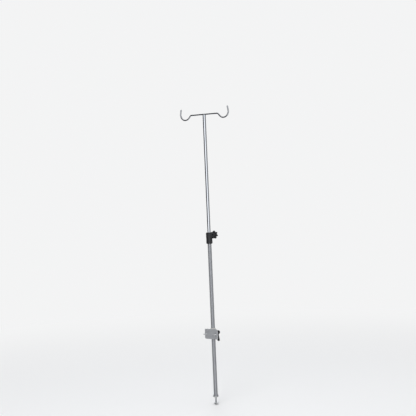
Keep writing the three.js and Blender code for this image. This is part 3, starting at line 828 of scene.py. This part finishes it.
# painted welds: two fillets from sleeve to plate, one ring round the boss
for tag, sgn in (("front", 1), ("rear", -1)):
    pts = [(sgn * 4.6, -14.15 + 0.0 * z, z) for z in np.linspace(292.5, 337.5, 120)]
    bead("weld_plate_" + tag, pts, 1.25, "chair_mount", [PAINT], 0.10, 1.9, squash=(0, 1, 0))
pts = []
for k in range(120):
    a = TAU * k / 120
    x, zz = 8.3 * math.cos(a), 8.3 * math.sin(a)
    pts.append((x, math.sqrt(14.15 ** 2 - x ** 2), BRACKET_Z + zz))
bead("weld_boss", pts, 0.95, "chair_mount", [PAINT], 0.12, 1.7, squash=(0, 1, 0), closed=True)

for tag, za, zb in (("lower", 288.2, 303.0), ("upper", 327.0, 341.8)):
    if tag == "lower":
        prof = [(9.62, za, 0.5), (13.2, za, 0.6), (13.2, za + 1.5, 0.2), (10.7, za + 1.5, 0.1), (10.7, zb, 0.4), (9.62, zb, 0.3)]
    else:
        prof = [(9.62, za, 0.3), (10.7, za, 0.4), (10.7, zb - 1.5, 0.1), (13.2, zb - 1.5, 0.2), (13.2, zb, 0.6), (9.62, zb, 0.5)]
    turned("bush_" + tag, prof, "chair_mount", ["bracket_bush_" + tag], [NYLON], closed=True)

for tag, x in (("rear", -28.0), ("front", 28.0)):
    y0 = PF + GAP
    turned("washer_" + tag, [(3.3, y0, 0.15), (6.2, y0, 0.2), (6.2, y0 + 1.4, 0.3), (3.3, y0 + 1.4, 0.2)], "chair_mount",
           ["bracket_washer_" + tag], [ZINC], axis="Y", origin=(x, 0, BRACKET_Z), closed=True)
    y1 = y0 + 1.4 + GAP
    S = 48
    hx = hexagon(4.0, S)
    rings = [(0, y1 + 1.0), (hx, y1 + 1.0), (hx, y1 + 2.85), (np.maximum(hx, 2.3) + 0.12, y1 + 3.02), (2.75, y1 + 3.1), (3.4, y1 + 3.05), (4.1, y1 + 2.7), (4.75, y1 + 2.1), (5.15, y1 + 1.2), (5.3, y1 + 0.5), (5.25, y1 + 0.1), (5.1, y1), (3.5, y1), (3.0, y1 - 0.4)]
    rings += thread(3.0, 1.0, y1 - 0.6, PB - 21.4, S, 0.4, 0.8)[:] + [(2.2, PB - 21.95), (0, PB - 22.0)]
    v, f = stack(rings, "Y", (x, 0, BRACKET_Z), S)
    make("screw_" + tag, v, f, "chair_mount", ["bracket_screw_" + tag], [ZINC], 30)

# clamp pad, stud, lever and its cap
O = (0, 0, BRACKET_Z)
turned("pad_bracket", [(0, 9.8), (3.2, 9.8, 0.2), (3.8, 10.4, 0.2), (3.8, 12.8, 0.3), (0, 12.8)], "bracket_clamp_pad", ["bracket_pad"], [BRASS], axis="Y", origin=O, seg=64)
S = 64
v, f = stack([(0, 13.1), (2.8, 13.1)] + thread(4.0, 1.25, 13.3, 39.6, S, 0.7, 0.4) + [(3.5, 40.0), (0, 40.0)], "Y", O, S)
make("stud_bracket", v, f, "bracket_clamp_lever", ["bracket_stud"], [ZINC], 30)
LEAN = math.radians(9)


def lever(x, y, z):
    zz = z - BRACKET_Z
    r = np.hypot(x, zz)
    hub = d_round(r, y, 9.5, 28, 46.4, 1.5)
    hub = smax(hub, y - 46.4, 0.6)
    # arm axis from the hub, down and outwards
    ay, az = y - 37.5, zz
    s = ay * math.sin(LEAN) - az * math.cos(LEAN)
    u = ay * math.cos(LEAN) + az * math.sin(LEAN)
    rad = np.interp(s, [0, 14, 26, 34, 39.6], [4.55, 4.25, 4.85, 5.75, 6.15])
    sc = np.clip(s, 0, 39.55)
    arm = np.sqrt(x ** 2 + u ** 2 + (s - sc) ** 2) - rad
    d = smin(hub, arm * 0.97, 2.6)
    bore = np.maximum(r - 4.3, y - 40.3)
    rec = np.maximum(r - 4.9, 43.0 - y)
    return smax(smax(d, -bore, 0.25), -rec, 0.25)


moulded("lever_bracket", lever, (-9.5, 28, BRACKET_Z - 47), (9.5, 51, BRACKET_Z + 9.6), 0.5, "bracket_clamp_lever", ["bracket_lever"], [BLACK])
turned("cap_lever", [(0, 43.3), (4.6, 43.3, 0.2), (4.6, 46.6, 0.2), (4.1, 47.35, 0.4), (3.0, 47.75), (1.5, 47.87), (0, 47.9)], "bracket_clamp_lever", ["bracket_lever_cap"], [CAP], axis="Y", origin=O, seg=64)

# =====================================================================================
# height collar
# =====================================================================================
def collar(x, y, z):
    r = np.hypot(x, y)
    # body, with a waist and a thumb-wide rib at the top
    rad = np.interp(z, [COLLAR_BOTTOM, COLLAR_BOTTOM + 5, COLLAR_BOTTOM + 8, COLLAR_BOTTOM + 24, COLLAR_BOTTOM + 30, COLLAR_TOP - 4, COLLAR_TOP - 1.2, COLLAR_TOP],
                    [13.9, 15.45, 15.45, 14.9, 15.45, 15.45, 14.2, 12.4])
    d = smax(r - rad, np.abs(z - (COLLAR_BOTTOM + COLLAR_TOP) / 2) - (COLLAR_TOP - COLLAR_BOTTOM) / 2, 1.2)
    q = np.hypot(x, z - LOCK_Z)
    b = d_round(q, y, 8.4, 0, 27, 1.2)
    d = smin(d, b, 2.4)
    # ten rounded grip flutes on the lower half, with a land between them for the grub screw
    fl = (0.5 - 0.5 * np.cos(10 * np.arctan2(y, -x))) ** 1.6
    run = np.clip((9.6 - np.abs(z - (COLLAR_BOTTOM + 15))) / 3.2, 0, 1)
    d = d + 0.8 * fl * run * run * (3 - 2 * run)
    # bores
    d = smax(d, -np.maximum(r - 9.8, z - (COLLAR_TOP - 2.7)), 0.3)
    d = smax(d, 8.6 - r, 0.4)
    d = smax(d, -np.maximum(q - 3.3, np.where(y > 0, -50.0, 50.0)), 0.2)
    d = smax(d, -np.maximum(q - 5.3, 16.7 - y), 0.3)
    g2 = np.hypot(y, z - 774.0)
    return smax(d, -np.maximum(g2 - 2.6, x), 0.3)


moulded("body_collar", collar, (-15.67, -15.6, COLLAR_BOTTOM), (15.6, 27.1, COLLAR_TOP), 0.5, "pole", ["collar_body"], [BLACK])
L = (0, 0, LOCK_Z)
turned("insert_collar", [(3.3, 17, 0.2), (5.0, 17, 0.3), (5.0, 20.5, 0.2), (4.7, 20.9, 0.1), (4.7, 22.3, 0.1), (5.0, 22.7, 0.2), (5.0, 26.6, 0.2), (3.7, 26.6, 0.1), (3.3, 26.2, 0.1)], "pole", ["collar_insert"], [BRASS], axis="Y", origin=L, seg=64, closed=True)
S = 48
hx = hexagon(2.5, S)
rings = [(0, -12.6), (hx, -12.6), (hx, -14.7), (hx + 0.15, -14.9), (1.95, -14.9), (2.3, -14.5)] + thread(2.3, 0.7, -14.4, -10.6, S, 0.2, 0.3) + [(1.75, -9.9), (0, -9.8)]
v, f = stack(rings, "X", (0, 0, 774.0), S)
make("grub_collar", v, f, "pole", ["collar_grub_screw"], [ZINC], 30)


def collar_bush(x, y, z):
    r = np.hypot(x, y)
    d = d_round(np.abs(r - 8.81), z, 0.69, 790.3, 815.0, 0.3)
    return smax(d, 3.3 - np.where(y > 0, np.hypot(x, z - LOCK_Z), 50.0), 0.15)


moulded("bush_collar", collar_bush, (-9.5, -9.5, 790.3), (9.5, 9.5, 815), 0.45, "pole", ["collar_bush"], [NYLON])

# =====================================================================================
# height lock: pad, stud, star knob, cap
# =====================================================================================
turned("pad_lock", [(0, 8.3), (2.4, 8.3, 0.15), (2.9, 8.8, 0.15), (2.9, 11.3, 0.2), (0, 11.3)], "height_lock_pad", ["lock_pad"], [BRASS], axis="Y", origin=L, seg=64)
S = 64
v, f = stack([(0, 11.6), (2.1, 11.6)] + thread(3.0, 1.0, 11.8, 41.6, S, 0.6, 0.4) + [(2.6, 42.0), (0, 42.0)], "Y", L, S)
make("stud_lock", v, f, "height_lock_knob", ["lock_stud"], [ZINC], 30)
S = 224
tha = np.arange(S) * TAU / S


def lobe(scale, inset):
    c = np.cos(7 * tha)
    r = 17.6 + 2.9 * np.sign(c) * np.abs(c) ** 0.8
    return r * scale - inset


rings = [(3.3, 42.0), (3.3, 30.3), (3.6, 30.0), (7.3, 30.0), (7.75, 30.15), (8.05, 30.5), (8.6, 31.0), (9.15, 31.7), (9.9, 33.4), (10.8, 35.2)]
rings += [(11.4, 36.3), (lobe(0.78, 0), 36.25), (lobe(0.93, 0.35), 36.1)]
for k in range(0, 6):
    a = math.pi / 2 * k / 5
    rings.append((lobe(1, 2.2 * (1 - math.sin(a))), 36.05 + 2.2 * (1 - math.cos(a))))
for k in range(1, 6):
    rings.append((lobe(1, 0.0), 38.25 + (46.6 - 38.25) * k / 6))
for k in range(0, 7):
    a = math.pi / 2 * k / 6
    rings.append((lobe(1, 2.5 * (1 - math.cos(a))), 46.6 + 2.3 * math.sin(a)))
rings += [(lobe(0.80, 0.6), 48.85), (13.0, 48.8), (12.6, 48.9), (12.0, 48.98), (11.0, 49.0), (10.6, 48.9), (10.36, 48.6), (10.3, 48.2), (10.3, 47.2), (0, 47.2)]
rings = [(0, 42.3), (3.0, 42.3)] + rings
v, f = stack(rings, "Y", L, S)
make("knob_lock", v, f, "height_lock_knob", ["lock_knob"], [BLACK], 38)
turned("cap_lock", [(0, 47.5), (10.0, 47.5, 0.2), (10.0, 48.5, 0.3), (9.3, 49.35, 0.5), (7.6, 49.85), (5.0, 50.06), (2.5, 50.17), (0, 50.2)], "height_lock_knob", ["lock_knob_cap"], [CAP], axis="Y", origin=L, seg=96)

# =====================================================================================
# floor, light, camera
# =====================================================================================
FLOOR = cad_lo.z - 0.001
me = bpy.data.meshes.new("floor")
R = 150.0
me.from_pydata([(-R, -R, FLOOR), (R, -R, FLOOR), (R, R, FLOOR), (-R, R, FLOOR)], [], [(0, 1, 2, 3)])
floor = bpy.data.objects.new("floor", me)
bpy.context.scene.collection.objects.link(floor)
fm = bpy.data.materials.new("pale_floor")
fm.use_nodes = True
nt = fm.node_tree
fp = nt.nodes["Principled BSDF"]
fp.inputs["Base Color"].default_value = (0.88, 0.88, 0.877, 1)
fp.inputs["Roughness"].default_value = 0.9
fp.inputs["Specular IOR Level"].default_value = 0.1
BACKGROUND = (0.90, 0.903, 0.906, 1)
far = nt.nodes.new("ShaderNodeEmission")
far.inputs[0].default_value = BACKGROUND
ftc = nt.nodes.new("ShaderNodeTexCoord")
ln = nt.nodes.new("ShaderNodeVectorMath")
ln.operation = "LENGTH"
nt.links.new(ftc.outputs["Object"], ln.inputs[0])
fr = nt.nodes.new("ShaderNodeMapRange")
fr.interpolation_type = "SMOOTHSTEP"
fr.inputs["From Min"].default_value = 0.35
fr.inputs["From Max"].default_value = 3.2
nt.links.new(ln.outputs["Value"], fr.inputs["Value"])
fmix = nt.nodes.new("ShaderNodeMixShader")
nt.links.new(fr.outputs[0], fmix.inputs[0])
nt.links.new(fp.outputs[0], fmix.inputs[1])
nt.links.new(far.outputs[0], fmix.inputs[2])
nt.links.new(fmix.outputs[0], nt.nodes["Material Output"].inputs[0])
me.materials.append(fm)
floor.visible_glossy = False

world = bpy.data.worlds.new("studio")
bpy.context.scene.world = world
world.use_nodes = True
nt = world.node_tree
nt.nodes.clear()
N, K = nt.nodes.new, nt.links.new
out = N("ShaderNodeOutputWorld")
tc = N("ShaderNodeTexCoord")
sep = N("ShaderNodeSeparateXYZ")
K(tc.outputs["Generated"], sep.inputs[0])


def m2(op, a, b=None, c=None):
    n = N("ShaderNodeMath")
    n.operation = op
    for i, v in enumerate((a, b, c)):
        if v is None:
            continue
        if isinstance(v, (int, float)):
            n.inputs[i].default_value = v
        else:
            K(v, n.inputs[i])
    return n.outputs[0]


def smooth(v, a, b):
    n = N("ShaderNodeMapRange")
    n.interpolation_type = "SMOOTHSTEP"
    n.inputs["From Min"].default_value = a
    n.inputs["From Max"].default_value = b
    K(v, n.inputs["Value"])
    return n.outputs[0]


def towards(az):
    """Cosine of the horizontal angle between a direction and the azimuth az, as the views count it."""
    a = math.radians(az)
    h = m2("SQRT", m2("ADD", m2("MULTIPLY", sep.outputs[0], sep.outputs[0]), m2("MULTIPLY", sep.outputs[1], sep.outputs[1])))
    dot = m2("ADD", m2("MULTIPLY", sep.outputs[0], math.sin(a)), m2("MULTIPLY", sep.outputs[1], -math.cos(a)))
    return m2("DIVIDE", dot, m2("MAXIMUM", h, 1e-4))


def box_light(az, half, soft, z0, z1, zs, power):
    """A soft panel in the surroundings, centred on an azimuth."""
    c = towards(az)
    side = smooth(c, math.cos(math.radians(half + soft)), math.cos(math.radians(max(half - soft, 0.5))))
    v = m2("MULTIPLY", smooth(sep.outputs[2], z0 - zs, z0 + zs), m2("SUBTRACT", 1.0, smooth(sep.outputs[2], z1 - zs, z1 + zs)))
    return m2("MULTIPLY", m2("MULTIPLY", side, v), power)


base = m2("ADD", 0.024, m2("MULTIPLY", smooth(sep.outputs[2], 0.72, 0.96), 0.80))
low = m2("MULTIPLY", smooth(m2("MULTIPLY", sep.outputs[2], -1.0), 0.80, 0.98), 0.45)
total = m2("ADD", base, low)
for args in (
    (31, 25, 12, -0.86, 0.62, 0.08, 1.42),
    (98, 34, 16, -0.84, 0.58, 0.10, 0.13),
    (126, 54, 18, -0.84, 0.58, 0.10, 0.18),
    (222, 24, 11, -0.86, 0.62, 0.08, 1.35),
    (292, 6, 4, -0.30, 0.45, 0.08, 0.5),
):
    total = m2("ADD", total, box_light(*args))
comb = N("ShaderNodeCombineColor")
K(m2("MULTIPLY", total, 0.965), comb.inputs[0])
K(m2("MULTIPLY", total, 0.99), comb.inputs[1])
K(m2("MULTIPLY", total, 1.03), comb.inputs[2])
studio = N("ShaderNodeBackground")
K(comb.outputs[0], studio.inputs[0])
studio.inputs[1].default_value = 1.0
plain = N("ShaderNodeBackground")
plain.inputs[0].default_value = BACKGROUND
plain.inputs[1].default_value = 1.0
lp = N("ShaderNodeLightPath")
mixs = N("ShaderNodeMixShader")
K(lp.outputs["Is Camera Ray"], mixs.inputs[0])
K(studio.outputs[0], mixs.inputs[1])
K(plain.outputs[0], mixs.inputs[2])
K(mixs.outputs[0], out.inputs[0])


def area(name, at, to, size, power, sx=1.0):
    d = bpy.data.lights.new(name, "AREA")
    d.shape = "RECTANGLE"
    d.size, d.size_y = size * sx, size
    d.energy = power
    o = bpy.data.objects.new(name, d)
    bpy.context.scene.collection.objects.link(o)
    o.location = at
    o.rotation_mode = "QUATERNION"
    o.rotation_quaternion = (Vector(to) - Vector(at)).to_track_quat("-Z", "Y")
    o.visible_glossy = False
    return o


area("key", (0.6, -3.2, 3.6), (0, 0, 0.6), 2.2, 70)
area("fill", (3.4, 0.6, 2.2), (0, 0, 0.7), 2.0, 22)
area("back", (-2.4, 3.0, 3.0), (0, 0, 0.7), 2.0, 34)
area("top", (0.0, 0.0, 4.2), (0, 0, 0), 3.0, 45)

AZ = math.radians(35.5)
DIST = 4.62                      # the camera's distance from the pole
CAM_Z = 1.10                     # the camera's height over the foot: the pole leans about 3 degrees along the bar, and
PITCH = -2.00                    # the camera stands where the leaning pole would see it, so it is turned and a little lower
ROLL = -2.4
cd = bpy.data.cameras.new("camera")
cam = bpy.data.objects.new("camera", cd)
bpy.context.scene.collection.objects.link(cam)
bpy.context.scene.camera = cam
cd.sensor_width = 36.0
cd.lens = 81.0
cd.clip_start, cd.clip_end = 0.05, 200
back = Vector((math.sin(AZ), -math.cos(AZ), 0))
cam.location = back * DIST + Vector((0, 0, CAM_Z))
aim = -back * math.cos(math.radians(PITCH)) + Vector((0, 0, math.sin(math.radians(PITCH))))
cam.rotation_mode = "QUATERNION"
cam.rotation_quaternion = aim.to_track_quat("-Z", "Y") @ Quaternion((0, 0, 1), math.radians(ROLL))

bpy.context.scene.view_settings.view_transform = "Standard"
bpy.context.scene.view_settings.look = "None"
bpy.context.scene.view_settings.exposure = 0.0
bpy.context.scene.view_settings.gamma = 1.0
